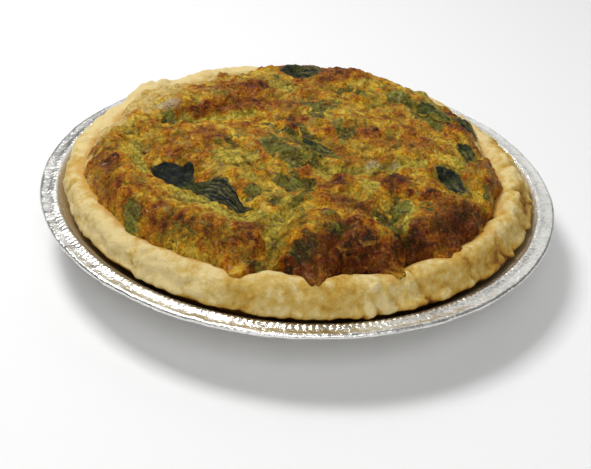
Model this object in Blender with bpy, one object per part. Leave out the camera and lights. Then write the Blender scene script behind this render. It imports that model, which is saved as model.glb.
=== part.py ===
"""A whole baked spinach quiche in its fluted foil tin.

Everything is in metres. The tin stands on z = 0 with the middle of its base at the origin, and the
near side of the quiche faces -Y. Azimuths are in degrees, counted from +X towards +Y.

The pieces, from the outside in: the foil tin, the pastry crust that stands inside it, the browned
filling that fills the crust and spills on to its rim, and the wilted spinach leaves on the filling.
"""

import math

import bmesh
import bpy
from mathutils import Vector, noise

MM = 0.001

# Foil tin: a round base, a fluted wall that leans out, a flange and an edge curled under.
RIM_RADIUS = 0.122
FLANGE_HEIGHT = 0.0275
FLANGE_INNER_RADIUS = 0.1142
BASE_RADIUS = 0.0875
BASE_CORNER = 0.0020
WALL_FOOT_HEIGHT = 0.0030
WALL_HEAD_DROP = 0.0014
WALL_HEAD_INWARD = 0.0012
FOIL = 0.0004
FOIL_ALONG_SLOPE = 0.00048
CURL_RADIUS = 0.0014
CURL_NECK = 0.0016
CURL_START, CURL_END, CURL_STEPS = -155, 90, 6  # degrees round the curl
FLUTES = 144
FLUTE_DEPTH = 0.0005
TIN_SIDES = 72

# Crust: a thick pastry shell with a broad rounded rim, pushed a little to one side of the tin.
GAP = 0.0004
CRUST_RADIUS = 0.1080
CRUST_SHIFT = 0.0022
CRUST_SHIFT_AZIMUTH = 235
CRUST_FOOT_RADIUS = 0.0855
CRUST_FOOT_ROUNDING = (0.0020, 0.0015)
CRUST_SIDE = ((0.0950, 0.0120), (0.1075, 0.0245))  # radius, height up the side, inside the tin
CRUST_FLARE_RADIUS = 0.1120
CRUST_FLARE_HEIGHT = 0.0285
SIDE_GAPS = ((200, 1.6, 26),)  # azimuth, depth in mm, spread in degrees: where it left the wall
CRUST_HOLLOW = ((0.0880, 0.0265), (0.0835, 0.0150), (0.0780, 0.0090))  # radius, height, downwards
HOLLOW_LIP = 0.003
CREST_HEIGHT = 0.0395
CREST_INWARD = 0.006
RIM_ROUNDING = 0.0075
RIM_INNER_RUN = 0.010
RIM_INNER_DROP = 0.006
RIM_WAVES = ((3, 0.5, 40), (5, 0.5, 200), (8, 0.35, 75), (13, 0.3, 10))  # waves, depth in mm, phase
CREST_WAVES = ((2, 0.6, 250), (4, 0.5, 130), (7, 0.5, 20), (11, 0.35, 300))
CREST_RISES = ((146, 2.8, 9), (124, 1.0, 9))  # azimuth, height in mm, spread in degrees
RIM_PINCHES = (  # azimuth, depth in mm, spread in degrees: where fingers pressed the dough
    (152, 1.6, 4), (170, 0.9, 5), (206, 1.5, 3), (228, 0.8, 4), (298, 0.9, 4), (318, 1.3, 3),
    (334, 1.5, 3), (352, 1.2, 3), (14, 1.3, 4), (40, 0.8, 4), (78, 1.0, 5), (112, 0.9, 4))
PINCH_INWARD_SHARE = 0.6
RIM_RINGS = (0.0, 0.0008, 0.0026)  # distances in from the rim's outer face
CRUST_SIDES = 144
LOW_SIDES = 72

# Filling: set egg with spinach, domed and lumpy, with an uneven edge that lies on the rim.
FILLING_RADIUS = 0.0968
FILLING_SHIFT = 0.0045
BAYS = (  # azimuth, depth in mm, spread in degrees: where the filling stops short of the rim
    (148, 1.5, 9), (170, 4.0, 11), (266, 4.2, 4.5), (284, 4.8, 5), (301, 4.6, 4.5), (331, 1.5, 5),
    (8, 2.0, 8))
TONGUES = (  # azimuth, reach in mm, spread in degrees: where it ran over the rim
    (197, 2.2, 8), (258, 4.8, 3.6), (275, 4.4, 3.6), (294, 3.4, 3.6), (309, 4.8, 3.6),
    (326, 3.0, 4), (60, 1.5, 9), (100, 1.2, 7))
FILLING_RISE = 0.0078
FILLING_RISE_RUN = 0.020
FILLING_DOME = 0.0030
FILLING_EDGE_HEIGHT = 0.0385
EDGE_THICKNESS = 0.0003
FILM_THICKNESS = 0.0014
FILM_RUN = 0.003
FILLING_RINGS = 24
RING_CROWDING = 1.22
FULL_RINGS = 4
LOBE_POWER = 10
LUMP_FADE_POWER = 12
LUMP_GRAIN = 0.013
LUMP_ROUGHNESS = 0.0013
ROUGH_HARDNESS, ROUGH_STEP, ROUGH_LAYERS = 0.8, 2.1, 3
LUMP_STEEPNESS = 1.7
LUMPS = (  # x, y, half length, half width in mm, turn in degrees, height in mm
    (-85, -24, 15, 9, 110, 3.0), (-77, -47, 14, 9, 130, 3.2), (-64, -66, 15, 10, 150, 3.6),
    (-39, -82, 19, 9, 160, 4.2), (-42, -12, 23, 13, -12, 4.6), (-52, 28, 21, 9, 22, 4.0),
    (-26, 50, 14, 11, 10, 3.4), (26, 66, 18, 12, -15, 4.4),
    (52, 56, 14, 10, -40, 3.0), (-8, -20, 16, 13, -20, 3.2), (20, 18, 15, 12, 20, 2.6),
    (20, -47, 10, 8, 15, 3.6), (45, -41, 9, 8, 0, 3.0), (50, -14, 16, 11, 10, 3.0),
    (87, -14, 12, 7, 80, 3.2), (80, 20, 11, 8, 75, 2.4), (66, 38, 11, 9, -40, 2.4),
    (17, -82, 18, 12, -4, 6.0), (53, -74, 17, 9, 32, 5.4), (12, -62, 24, 7, -6, 2.6),
    (74, -50, 12, 9, 50, 3.8), (-84, 8, 12, 8, 95, 2.2), (-70, 42, 14, 9, 55, 1.4),
    (-6, 24, 12, 9, 30, 2.2), (46, 12, 10, 8, 0, 2.4))
HOLLOWS = (  # the same, with depths: the leaf's pit, creases and the beds of other leaves
    (-50, -43, 25, 10, -36, 6.6), (-25, -64, 12, 7, -42, 4.8), (-42, 12, 28, 6, 8, 4.4),
    (-3, 76, 12, 8, 0, 3.6), (8, -9, 16, 6, -42, 3.4), (24, -32, 21, 5, 4, 3.6),
    (69, -31, 15, 7, -72, 3.4), (78, 0, 10, 6, -80, 2.6), (-12, -88, 8, 8, 0, 3.0),
    (38, -62, 11, 7, 60, 3.4), (36, 40, 13, 7, 40, 2.6), (-2, -48, 9, 7, 0, 2.6),
    (-56, 70, 30, 15, 38, 5.2))

# Spinach leaves: thin wilted leaves that lie in the filling's hollows.
LEAF_GAP = 0.0006
LEAF_BRIDGE = 0.0022
LEAF_THICKNESS = 0.0006
LEAF_WAVE = 0.0012
LEAF_WAVE_SLANT = 2.2
LEAF_END = 0.22
LEAF_WAIST_SPREAD = 0.28
LEAF_CELL = 4.4
LEAF_CELLS_ACROSS = 4
LEAVES = (  # name, x, y of the middle, length, width in mm, turn in degrees, ripples, waist
    ("leaf_large", -43.0, -50.5, 57, 21, -35, 3.0, 0.5),
    ("leaf_back", -3.0, 77.5, 23, 14, 6, 2.0, 0.0),
    ("leaf_right", 68.5, -31.0, 28, 12, -72, 2.0, 0.2),
    ("leaf_right_small", 78.5, 0.5, 16, 9, -80, 1.5, 0.0),
    ("leaf_middle", 7.0, -9.5, 24, 10, -42, 2.0, 0.2),
    ("leaf_back_right", 65.0, 35.0, 22, 11, -40, 2.0, 0.0),
    ("leaf_far_right", 80.5, 29.0, 17, 9, -58, 1.5, 0.0),
)

# Each piece's colour, roughness and metallic value.
FOIL_LOOK = ((0.80, 0.80, 0.79), 0.28, 1.0)
CRUST_LOOK = ((0.72, 0.52, 0.24), 0.75, 0.0)
FILLING_LOOK = ((0.42, 0.19, 0.035), 0.45, 0.0)
LEAF_LOOK = ((0.018, 0.032, 0.010), 0.35, 0.0)
SHARP_ANGLE = 40


def waves(azimuth, parts):
    """The sum of some waves round the quiche, in metres."""
    return sum(
        depth * MM * math.sin(count * azimuth + math.radians(phase)) for count, depth, phase in parts)


def local(azimuth, places):
    """The sum of soft local features, each at its own azimuth, in metres."""
    total = 0.0
    for centre, depth, spread in places:
        away = (math.degrees(azimuth) - centre + 180) % 360 - 180
        total += depth * MM * math.exp(-((away / spread) ** 2))
    return total


def crust_radius(azimuth):
    """How far out the rim's outer face is."""
    towards = math.cos(azimuth - math.radians(CRUST_SHIFT_AZIMUTH))
    uneven = waves(azimuth, RIM_WAVES) - PINCH_INWARD_SHARE * local(azimuth, RIM_PINCHES)
    return CRUST_RADIUS + CRUST_SHIFT * towards + uneven


def rim_height(azimuth, inward):
    """The height of the rim's surface, at a distance inward from its outer face."""
    crest = CREST_HEIGHT + waves(azimuth, CREST_WAVES)
    crest += local(azimuth, CREST_RISES) - local(azimuth, RIM_PINCHES)
    if inward < CREST_INWARD:
        share = 1 - inward / CREST_INWARD
        return crest - RIM_ROUNDING * (1 - math.sqrt(1 - share * share))
    return crest - RIM_INNER_DROP * ((inward - CREST_INWARD) / RIM_INNER_RUN) ** 2


def filling_circle(azimuth):
    """How far out the filling would lie without its bays and tongues."""
    return FILLING_RADIUS + FILLING_SHIFT * math.cos(azimuth - math.radians(CRUST_SHIFT_AZIMUTH))


def filling_shore(azimuth):
    """How far out the thick of the filling reaches."""
    return filling_circle(azimuth) - local(azimuth, BAYS)


def filling_radius(azimuth):
    """How far out the filling's edge lies on the rim, tongues and all."""
    return filling_shore(azimuth) + local(azimuth, TONGUES)


def lump(x, y, form):
    """The height at a point of one lump, an ellipse with soft sides."""
    centre_x, centre_y, half_length, half_width, turn, height = form
    turned = math.radians(turn)
    dx, dy = x / MM - centre_x, y / MM - centre_y
    along = (dx * math.cos(turned) + dy * math.sin(turned)) / half_length
    across = (dy * math.cos(turned) - dx * math.sin(turned)) / half_width
    return height * MM * math.exp(-((along * along + across * across) ** LUMP_STEEPNESS))


def filling_top(x, y):
    """The height of the filling's top at a point."""
    azimuth, distance = math.atan2(y, x), math.hypot(x, y)
    edge, shore = filling_radius(azimuth), filling_shore(azimuth)
    inside = min(distance / shore, 1.0)
    start = rim_height(azimuth, crust_radius(azimuth) - min(max(distance, shore), edge))
    start = FILLING_EDGE_HEIGHT + (start - FILLING_EDGE_HEIGHT) * inside**3 + GAP + EDGE_THICKNESS
    film = FILM_THICKNESS * math.sqrt(min(max(edge - distance, 0.0) / FILM_RUN, 1.0))
    rise = FILLING_RISE * (1 - (1 - min(max(shore - distance, 0.0) / FILLING_RISE_RUN, 1.0)) ** 3)
    rough = noise.fractal(Vector((x, y, 0.0)) / LUMP_GRAIN, ROUGH_HARDNESS, ROUGH_STEP, ROUGH_LAYERS)
    forms = sum(lump(x, y, f) for f in LUMPS) - sum(lump(x, y, f) for f in HOLLOWS)
    forms = (forms + rough * LUMP_ROUGHNESS) * (1 - inside**LUMP_FADE_POWER)
    return start + film + rise + FILLING_DOME * (1 - inside**2) + forms


def ring(shape, count, place):
    """A closed ring of points: place(azimuth) gives each one's radius and height."""
    points = []
    for i in range(count):
        azimuth = 2 * math.pi * i / count
        radius, height = place(azimuth)
        points.append(shape.verts.new((radius * math.cos(azimuth), radius * math.sin(azimuth), height)))
    return points


def join(shape, first, second):
    """Triangles between two rings that may differ in how many points they have."""
    i = j = 0
    while i < len(first) or j < len(second):
        here, there = first[i % len(first)], second[j % len(second)]
        if (j + 0.5) / len(second) <= (i + 0.5) / len(first):
            j += 1
            shape.faces.new((here, there, second[j % len(second)]))
        else:
            i += 1
            shape.faces.new((here, there, first[i % len(first)]))


def join_all(shape, rings):
    """Joins each ring to the next one."""
    for first, second in zip(rings, rings[1:]):
        join(shape, first, second)


def finish(name, shape, look, parent):
    """Turns a closed shape into a named object with its own material."""
    colour, roughness, metallic = look
    bmesh.ops.recalc_face_normals(shape, faces=shape.faces)
    mesh = bpy.data.meshes.new(name)
    shape.to_mesh(mesh)
    shape.free()
    mesh.shade_smooth()
    mesh.set_sharp_from_angle(angle=math.radians(SHARP_ANGLE))
    material = bpy.data.materials.new(name)
    material.use_nodes = True
    surface = material.node_tree.nodes["Principled BSDF"]
    surface.inputs["Base Color"].default_value = (*colour, 1.0)
    surface.inputs["Roughness"].default_value = roughness
    surface.inputs["Metallic"].default_value = metallic
    mesh.materials.append(material)
    piece = bpy.data.objects.new(name, mesh)
    bpy.context.collection.objects.link(piece)
    piece.parent = parent
    return piece


def fluted(radius, height):
    """A ring that steps in and out at each flute of the tin's wall."""
    def place(azimuth):
        side = round(azimuth * FLUTES / math.pi) % 2
        return radius + (FLUTE_DEPTH if side else -FLUTE_DEPTH), height
    return place


def foil_tin(parent):
    """The tin: down the outside from the flange, across the base, and up the inside again."""
    shape = bmesh.new()
    under = FLANGE_HEIGHT - FOIL
    head, head_radius = under - WALL_HEAD_DROP, FLANGE_INNER_RADIUS - WALL_HEAD_INWARD
    wall_foot = BASE_RADIUS + BASE_CORNER + FLUTE_DEPTH
    outside = [
        ring(shape, TIN_SIDES, lambda a: (BASE_RADIUS, 0.0)),
        ring(shape, 2 * FLUTES, fluted(wall_foot, WALL_FOOT_HEIGHT)),
        ring(shape, 2 * FLUTES, fluted(head_radius, head)),
        ring(shape, TIN_SIDES, lambda a: (FLANGE_INNER_RADIUS, under)),
    ]
    curl_centre, curl_height = RIM_RADIUS - CURL_RADIUS, FLANGE_HEIGHT - CURL_RADIUS
    curl = [ring(shape, TIN_SIDES, lambda a: (curl_centre - CURL_NECK, under))]
    for step in range(CURL_STEPS):
        angle = math.radians(CURL_START + step * (CURL_END - CURL_START) / (CURL_STEPS - 1))
        radius = curl_centre + CURL_RADIUS * math.cos(angle)
        height = curl_height + CURL_RADIUS * math.sin(angle)
        curl.append(ring(shape, TIN_SIDES, lambda a, r=radius, h=height: (r, h)))
    inward, upward = FOIL_ALONG_SLOPE, FOIL_ALONG_SLOPE / 2
    inside = [
        ring(shape, TIN_SIDES, lambda a: (FLANGE_INNER_RADIUS - upward, FLANGE_HEIGHT)),
        ring(shape, 2 * FLUTES, fluted(head_radius - inward, head + upward)),
        ring(shape, 2 * FLUTES, fluted(wall_foot - inward, WALL_FOOT_HEIGHT + upward)),
        ring(shape, TIN_SIDES, lambda a: (BASE_RADIUS - upward, FOIL)),
    ]
    join_all(shape, outside + curl + inside)
    shape.faces.new(outside[0])
    shape.faces.new(inside[-1])
    return finish("foil_tin", shape, FOIL_LOOK, parent)


def rim_ring(shape, inward, offset):
    """A ring that lies on the rim: inward(azimuth) is how far in, offset how far it stands off."""
    def place(azimuth):
        distance = inward(azimuth)
        return crust_radius(azimuth) - distance - offset, rim_height(azimuth, distance) + offset
    return ring(shape, CRUST_SIDES, place)


def edge_inward(azimuth):
    """How far in from the rim's outer face the filling's edge is."""
    return crust_radius(azimuth) - filling_radius(azimuth)


def crust_inside(shape, offset):
    """The hollow that the filling fills, from its edge on the rim down to the floor."""
    return [
        rim_ring(shape, edge_inward, offset),
        rim_ring(shape, lambda a: edge_inward(a) + HOLLOW_LIP, offset),
    ] + [
        ring(shape, sides, lambda a, r=radius, h=height: (r - offset, h + offset))
        for sides, (radius, height) in zip((CRUST_SIDES, LOW_SIDES, LOW_SIDES), CRUST_HOLLOW)
    ]


def crust(parent):
    """The pastry shell: up its outer side, over the rim and down to its floor."""
    shape = bmesh.new()
    floor = FOIL + GAP
    outward, upward = CRUST_FOOT_ROUNDING
    last = RIM_RINGS[-1]
    rings = [
        ring(shape, LOW_SIDES, lambda a: (CRUST_FOOT_RADIUS, floor)),
        ring(shape, LOW_SIDES, lambda a: (CRUST_FOOT_RADIUS + outward, floor + upward)),
        ring(shape, LOW_SIDES, lambda a: CRUST_SIDE[0]),
    ] + [
        ring(shape, CRUST_SIDES, lambda a, r=radius, h=height: (r - local(a, SIDE_GAPS), h))
        for radius, height in (CRUST_SIDE[1], (CRUST_FLARE_RADIUS, CRUST_FLARE_HEIGHT))
    ] + [
        rim_ring(shape, lambda a, d=distance: d, 0.0) for distance in RIM_RINGS
    ] + [
        rim_ring(shape, lambda a, s=third / 3: last + (edge_inward(a) - last) * s, 0.0)
        for third in (1, 2)
    ] + crust_inside(shape, 0.0)
    join_all(shape, rings)
    shape.faces.new(rings[0])
    shape.faces.new(rings[-1])
    return finish("crust", shape, CRUST_LOOK, parent)


def filling(parent):
    """The filling: its lumpy top in rings from the middle outward, then its sides and floor."""
    shape = bmesh.new()
    underside = crust_inside(shape, GAP)
    middle = shape.verts.new((0.0, 0.0, filling_top(0.0, 0.0)))
    top = []
    for k in range(1, FILLING_RINGS):
        share = 1 - (1 - k / FILLING_RINGS) ** RING_CROWDING

        def place(azimuth, s=share):
            circle = filling_circle(azimuth)
            radius = circle * s + (filling_radius(azimuth) - circle) * s**LOBE_POWER
            return radius, filling_top(radius * math.cos(azimuth), radius * math.sin(azimuth))
        top.append(ring(shape, CRUST_SIDES if k >= FILLING_RINGS - FULL_RINGS else 6 * k, place))
    for i, point in enumerate(top[0]):
        shape.faces.new((middle, point, top[0][(i + 1) % len(top[0])]))
    join_all(shape, top + underside)
    shape.faces.new(underside[-1])
    return finish("filling", shape, FILLING_LOOK, parent)


def leaf_rest(x, y):
    """The height at which a leaf rests: it bridges the filling's creases."""
    steps = ((0, 0), (LEAF_BRIDGE, 0), (-LEAF_BRIDGE, 0), (0, LEAF_BRIDGE), (0, -LEAF_BRIDGE))
    return max(filling_top(x + dx, y + dy) for dx, dy in steps) + LEAF_GAP


def leaf(name, middle_x, middle_y, length, width, turn, ripples, waist, parent):
    """A thin wavy leaf that lies on the filling, with both faces split into triangles alike."""
    shape = bmesh.new()
    turned = math.radians(turn)
    cells_along = math.ceil(length / LEAF_CELL)
    lower, upper = [], []
    for i in range(cells_along + 1):
        u = 2 * i / cells_along - 1
        half = width / 2 * MM * (LEAF_END + (1 - LEAF_END) * math.sqrt(1 - u * u))
        half *= 1 - waist * math.exp(-((u / LEAF_WAIST_SPREAD) ** 2))
        for j in range(LEAF_CELLS_ACROSS + 1):
            v = 2 * j / LEAF_CELLS_ACROSS - 1
            along, across = u * length / 2 * MM, v * half
            x = middle_x * MM + along * math.cos(turned) - across * math.sin(turned)
            y = middle_y * MM + along * math.sin(turned) + across * math.cos(turned)
            ripple = 0.5 + 0.5 * math.sin(ripples * math.pi * u + LEAF_WAVE_SLANT * v)
            height = leaf_rest(x, y) + LEAF_WAVE * ripple * abs(v)
            lower.append(shape.verts.new((x, y, height)))
            upper.append(shape.verts.new((x, y, height + LEAF_THICKNESS)))
    row = LEAF_CELLS_ACROSS + 1
    for i in range(cells_along):
        for j in range(LEAF_CELLS_ACROSS):
            a, b = i * row + j, (i + 1) * row + j
            for side in (lower, upper):
                shape.faces.new((side[a], side[b], side[a + 1]))
                shape.faces.new((side[b], side[b + 1], side[a + 1]))
    last = cells_along * row
    border = list(range(row - 1)) + list(range(row - 1, last + row - 1, row))
    border += list(range(last + row - 1, last, -1)) + list(range(last, 0, -row))
    for a, b in zip(border, border[1:] + border[:1]):
        shape.faces.new((lower[a], lower[b], upper[b], upper[a]))
    return finish(name, shape, LEAF_LOOK, parent)


def build():
    """Clears the scene and makes the quiche."""
    for old in list(bpy.data.objects):
        bpy.data.objects.remove(old)
    quiche = bpy.data.objects.new("quiche", None)
    bpy.context.collection.objects.link(quiche)
    foil_tin(quiche)
    crust(quiche)
    filling(quiche)
    for one in LEAVES:
        leaf(*one, parent=quiche)


build()
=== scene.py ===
"""A whole baked spinach quiche, cooled in its fluted foil tin, on a pale table."""

import math

import bpy
import numpy as np
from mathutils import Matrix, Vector, noise
from mathutils.bvhtree import BVHTree


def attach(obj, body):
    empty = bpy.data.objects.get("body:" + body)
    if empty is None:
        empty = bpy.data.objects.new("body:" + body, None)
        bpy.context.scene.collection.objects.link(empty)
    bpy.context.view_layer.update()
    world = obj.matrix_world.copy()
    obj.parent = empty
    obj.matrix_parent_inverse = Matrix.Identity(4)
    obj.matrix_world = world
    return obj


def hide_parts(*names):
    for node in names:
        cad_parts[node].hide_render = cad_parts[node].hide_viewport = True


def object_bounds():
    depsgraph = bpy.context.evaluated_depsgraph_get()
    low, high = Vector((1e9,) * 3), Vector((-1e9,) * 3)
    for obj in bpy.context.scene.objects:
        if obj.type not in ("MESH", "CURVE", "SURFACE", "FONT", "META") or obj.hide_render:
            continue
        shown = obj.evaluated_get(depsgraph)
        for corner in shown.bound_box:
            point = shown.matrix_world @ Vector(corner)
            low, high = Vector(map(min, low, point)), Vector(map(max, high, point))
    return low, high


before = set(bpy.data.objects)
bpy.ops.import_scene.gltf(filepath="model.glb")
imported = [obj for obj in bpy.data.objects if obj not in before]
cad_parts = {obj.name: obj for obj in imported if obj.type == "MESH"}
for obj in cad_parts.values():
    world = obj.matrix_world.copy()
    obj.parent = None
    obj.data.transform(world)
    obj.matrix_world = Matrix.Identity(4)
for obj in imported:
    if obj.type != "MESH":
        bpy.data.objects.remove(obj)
packed_low, packed_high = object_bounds()
MM = 0.001


# The viewpoint: somebody standing at the table looks down on the near side of the quiche, with the
# camera held a little crooked, so that the right side lies lower in the picture.
CAMERA_PLACE = (0.000211, -0.413668, 0.262801)
CAMERA_TURN = (56.8796, -3.3416, 2.1778)
FOCAL_LENGTH = 60
SENSOR_WIDTH = 36

bpy.ops.object.camera_add(
    location=CAMERA_PLACE, rotation=[math.radians(angle) for angle in CAMERA_TURN])
camera = bpy.context.object
camera.name = "camera"
camera.data.lens = FOCAL_LENGTH
camera.data.sensor_width = SENSOR_WIDTH
camera.data.clip_start = 0.01
bpy.context.scene.camera = camera


# The foil tin is pressed from one thin round of aluminium foil: a flat base with a pressed ring, a
# wall gathered into fine flutes, and a flat flange whose edge is curled under. It is a little crumpled
# from handling. The inside of the wall behind the crust is painted brown and less metallic: a painted
# reflection of the crust, together with baked-on fat.
TIN_PROFILE = (  # radius and height in mm, from the base's edge outwards
    (88.2, 0.55), (89.1, 1.5), (90.0, 2.9), (94.4, 7.4), (98.9, 12.0), (103.3, 16.5), (107.8, 21.1),
    (110.7, 24.1), (112.4, 25.7), (113.5, 26.5), (114.4, 26.9), (115.4, 27.05), (116.6, 27.0),
    (117.9, 26.95), (119.1, 26.95), (120.1, 27.15), (120.9, 27.1), (121.4, 26.7), (121.6, 26.0),
    (121.3, 25.3), (120.7, 24.95), (120.1, 25.1))
BASE_EDGE = (87.2, 0.2)
BASE_INSETS = ((3.0, 0.0), (4.0, 0.0), (1.6, 0.7), (26.0, 0.0), (1.6, -0.5), (30.0, 0.0))
FLUTES = 280
POINTS_PER_FLUTE = 4
FLUTE_HEIGHT = 0.45
FLANGE_BUMP = 0.42
FOIL_THICKNESS = 0.22
TIN_REACH = 121.9
EDGE_RADIUS = 120
WALL_STARTS = (88.5, 92.0)  # each pair is two radii in mm, between which a part fades in or out
WALL_ENDS = (112.6, 114.6)
HEAD_STARTS = (112.6, 114.0)
HEAD_ENDS = (115.2, 116.4)
FLANGE_STARTS = (113.5, 117.0)
CURL_STARTS = (119.0, 121.0)
BROWN_WALL_ENDS = (112.0, 114.2)
WALL_LEAN = 0.7
SAG_HEIGHT = 0.5
CRIMP_DEPTH = 0.7
CRUMPLE_ON_WALL = 0.10
CRUMPLE_ON_FLANGE = 0.26
CRINKLE_HEIGHT = 0.35
FLANGE_DROP = 0.25
FOIL_SHADES = ((0.3, (0.70, 0.69, 0.65)), (0.7, (0.90, 0.89, 0.85)))
FAT_AND_REFLECTED_CRUST = (0.52, 0.35, 0.120)


def smoothstep(low, high, values):
    """0 below low, 1 above high and a soft step between them."""
    share = np.clip((values - low) / (high - low), 0.0, 1.0)
    return share * share * (3 - 2 * share)


def points_of(piece):
    """A piece's points in millimetres, one row each."""
    flat = np.empty(len(piece.data.vertices) * 3)
    piece.data.vertices.foreach_get("co", flat)
    return flat.reshape(-1, 3) / MM


def move_points(piece, points):
    """Puts a piece's points where the rows say, in millimetres."""
    piece.data.vertices.foreach_set("co", (points * MM).ravel())
    piece.data.update()


def normals_of(piece):
    """The direction that each point faces."""
    flat = np.empty(len(piece.data.vertices) * 3)
    piece.data.vertex_normals.foreach_get("vector", flat)
    return flat.reshape(-1, 3)


def give_values(piece, name, values):
    """Stores one value for each point, for the material to read."""
    made = piece.data.attributes.new(name, "FLOAT", "POINT")
    made.data.foreach_set("value", np.asarray(values, np.float32))


def unevenness(points, size, layers, seed):
    """Soft random values, about -1 to 1, whose patches are about size millimetres across."""
    shift = Vector((seed, seed * 0.7, seed * 1.3))
    return np.array([noise.fractal(Vector(p) / size + shift, 0.9, 2.0, layers) for p in points])


def select_only(piece):
    """Makes one piece the only one that is selected, and the active one."""
    bpy.ops.object.select_all(action="DESELECT")
    piece.select_set(True)
    bpy.context.view_layer.objects.active = piece


bpy.ops.object.select_all(action="DESELECT")
bpy.ops.mesh.primitive_circle_add(
    vertices=FLUTES * POINTS_PER_FLUTE, radius=BASE_EDGE[0] * MM, fill_type="NGON",
    location=(0, 0, BASE_EDGE[1] * MM))
foil_pan = bpy.context.object
foil_pan.name = "foil_pan"
bpy.ops.object.transform_apply(location=True, rotation=False, scale=False)
bpy.ops.object.mode_set(mode="EDIT")
bpy.ops.mesh.select_mode(type="FACE")
bpy.ops.mesh.select_all(action="SELECT")
for inward, upward in BASE_INSETS:
    bpy.ops.mesh.inset(thickness=inward * MM, depth=0)
    bpy.ops.transform.translate(value=(0, 0, upward * MM))
bpy.ops.mesh.select_mode(type="EDGE")
bpy.ops.mesh.select_all(action="DESELECT")
bpy.ops.mesh.select_non_manifold()
here = BASE_EDGE
for there in TIN_PROFILE:
    bpy.ops.mesh.extrude_edges_move(
        TRANSFORM_OT_translate={"value": (0, 0, (there[1] - here[1]) * MM)})
    wider = there[0] / here[0]
    bpy.ops.transform.resize(value=(wider, wider, 1))
    here = there
bpy.ops.mesh.select_all(action="SELECT")
bpy.ops.mesh.normals_make_consistent(inside=False)
bpy.ops.object.mode_set(mode="OBJECT")

tin = points_of(foil_pan)
radius = np.hypot(tin[:, 0], tin[:, 1])
azimuth = np.arctan2(tin[:, 1], tin[:, 0])
flute = np.abs(np.sin(azimuth * FLUTES / 2))
on_wall = smoothstep(*WALL_STARTS, radius) * (1 - smoothstep(*WALL_ENDS, radius))
at_head = smoothstep(*HEAD_STARTS, radius) * (1 - smoothstep(*HEAD_ENDS, radius))
out_on_flange = smoothstep(*FLANGE_STARTS, radius)
along_edge = np.column_stack(
    [np.cos(azimuth) * EDGE_RADIUS, np.sin(azimuth) * EDGE_RADIUS, np.zeros(len(tin))])
sag = unevenness(along_edge, 34, 2, 3.1) * SAG_HEIGHT
crumple = unevenness(tin, 6.5, 3, 8.0)
crimp = np.maximum(unevenness(along_edge, 16, 2, 5.0), 0.0)
crimp *= np.abs(np.sin(azimuth * FLUTES / 2 + 0.8))
crinkle = np.abs(unevenness(tin, 2.6, 2, 9.0)) - 0.3
push = (flute - 0.55) * FLUTE_HEIGHT * on_wall
outwards = push * WALL_LEAN - crimp * CRIMP_DEPTH * smoothstep(*CURL_STARTS, radius)
outwards += crumple * CRUMPLE_ON_WALL * on_wall
upwards = -push * WALL_LEAN + flute * FLANGE_BUMP * at_head
upwards += out_on_flange * (
    sag + crumple * CRUMPLE_ON_FLANGE - FLANGE_DROP + crinkle * CRINKLE_HEIGHT)
new_radius = np.minimum(radius + outwards, TIN_REACH - FOIL_THICKNESS / 2)
tin[:, 0] = np.cos(azimuth) * new_radius
tin[:, 1] = np.sin(azimuth) * new_radius
tin[:, 2] = tin[:, 2] + np.where(radius > WALL_STARTS[0], upwards, 0.0)
tin[:, 2] = np.maximum(tin[:, 2], FOIL_THICKNESS / 2)
move_points(foil_pan, tin)

select_only(foil_pan)
foil_wall = foil_pan.modifiers.new("foil", "SOLIDIFY")
foil_wall.thickness = FOIL_THICKNESS * MM
foil_wall.offset = 0.0
bpy.ops.object.modifier_apply(modifier="foil")
bpy.ops.object.shade_smooth()

tin = points_of(foil_pan)
# Where the wall faces in behind the crust, it gets the painted brown of the reflected crust and baked-on
# fat.
inner_wall = 1 - smoothstep(*BROWN_WALL_ENDS, np.hypot(tin[:, 0], tin[:, 1]))
inner_wall *= smoothstep(2, 8, tin[:, 2])
inner_wall *= smoothstep(-0.10, 0.15, normals_of(foil_pan)[:, 2])
give_values(foil_pan, "dulled", inner_wall)


def new_material(name):
    """A fresh node material, with its nodes, links and shader."""
    made = bpy.data.materials.new(name)
    made.use_nodes = True
    return made, made.node_tree.nodes, made.node_tree.links, made.node_tree.nodes["Principled BSDF"]


def noise_texture(nodes, links, scale, detail=4.0, roughness=0.55, distortion=0.0):
    """A noise texture on Object coordinates: scale is in patches a metre."""
    place = nodes.new("ShaderNodeTexCoord")
    made = nodes.new("ShaderNodeTexNoise")
    made.inputs["Scale"].default_value = scale
    made.inputs["Detail"].default_value = detail
    made.inputs["Roughness"].default_value = roughness
    made.inputs["Distortion"].default_value = distortion
    links.new(place.outputs["Object"], made.inputs["Vector"])
    return made.outputs["Fac"]


def attribute(nodes, name):
    """A value that each point of the piece carries."""
    made = nodes.new("ShaderNodeAttribute")
    made.attribute_name = name
    return made.outputs["Fac"]


def ramp(nodes, links, factor, stops):
    """A colour ramp with stops given as (position, (red, green, blue))."""
    made = nodes.new("ShaderNodeValToRGB")
    while len(made.color_ramp.elements) < len(stops):
        made.color_ramp.elements.new(1.0)
    for element, (position, colour) in zip(made.color_ramp.elements, stops):
        element.position = position
        element.color = (*colour, 1.0)
    links.new(factor, made.inputs["Fac"])
    return made.outputs["Color"]


def spread(nodes, links, value, low, high, new_low=0.0, new_high=1.0):
    """Maps a value from one range to another, and holds it there."""
    made = nodes.new("ShaderNodeMapRange")
    made.inputs["From Min"].default_value = low
    made.inputs["From Max"].default_value = high
    made.inputs["To Min"].default_value = new_low
    made.inputs["To Max"].default_value = new_high
    links.new(value, made.inputs["Value"])
    return made.outputs["Result"]


def blend_colours(nodes, links, factor, first, second):
    """Mixes two colours; the second may be a plain colour."""
    made = nodes.new("ShaderNodeMix")
    made.data_type = "RGBA"
    links.new(factor, made.inputs["Factor"])
    links.new(first, made.inputs[6])
    if isinstance(second, tuple):
        made.inputs[7].default_value = (*second, 1.0)
    else:
        links.new(second, made.inputs[7])
    return made.outputs[2]


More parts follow.
